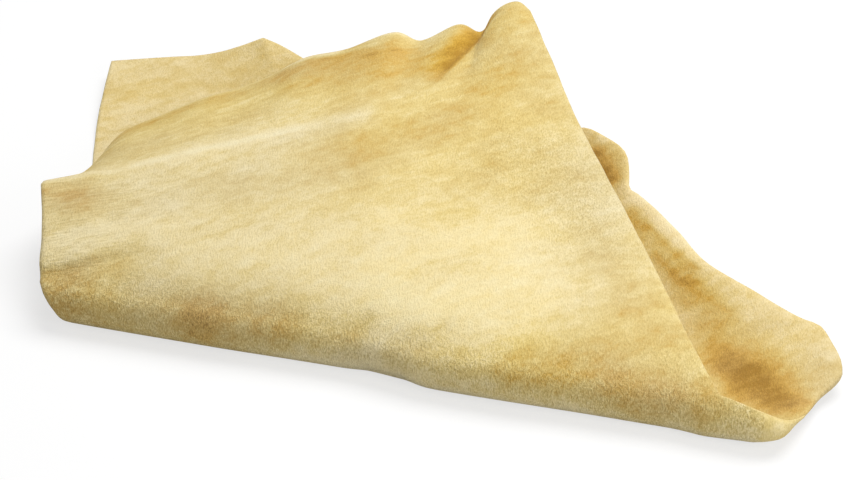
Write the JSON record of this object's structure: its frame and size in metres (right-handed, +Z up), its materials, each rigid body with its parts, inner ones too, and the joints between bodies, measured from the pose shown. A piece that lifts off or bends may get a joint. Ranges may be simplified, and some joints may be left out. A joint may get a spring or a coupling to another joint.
{
  "type": "lens cleaning cloth",
  "caption": "Natural chamois leather cleaning cloth for lenses and glass, lying loosely folded in two with a rolled front fold, a ridged flap and a raised corner.",
  "frame": {"origin": "on the table under the middle of the folded cloth's outline", "axes": "+X along the front fold towards the pointed end, +Y from the front fold towards the far edge, +Z up from the table"},
  "size_m": [0.3464, 0.2124, 0.0573],
  "materials": {
    "leather_face": "suede nap, pale buff with ochre streaks",
    "leather_under": "suede nap, buff with ochre hollows"
  },
  "bodies": {
    "lower": {"lower_layer": "leather_under"},
    "flap": {"upper_flap": "leather_face"},
    "flap_margin": {"far_margin": "leather_face"},
    "right_edge": {"right_margin": "leather_under"},
    "rear": {"rear_corner": "leather_under"}
  },
  "joints": [
    {"name": "front_fold", "type": "hinge", "parent": "lower", "child": "flap", "pos_m": [0.01656, -0.10575, 0.01], "axis": [1, 0, 0], "range_deg": [0, 120]},
    {"name": "flap_ridge", "type": "hinge", "parent": "flap", "child": "flap_margin", "pos_m": [-0.14644, -0.05375, 0.032], "axis": [0.8701, 0.4865, 0.0795], "range_deg": [0, 60]},
    {"name": "right_valley", "type": "hinge", "parent": "lower", "child": "right_edge", "pos_m": [0.03356, 0.04025, 0.0005], "axis": [0.6541, -0.7564, 0], "range_deg": [0, 45]},
    {"name": "rear_crease", "type": "hinge", "parent": "lower", "child": "rear", "pos_m": [-0.15744, 0.01425, 0.0005], "axis": [0.6987, 0.7154, 0], "range_deg": [0, 60]}
  ]
}
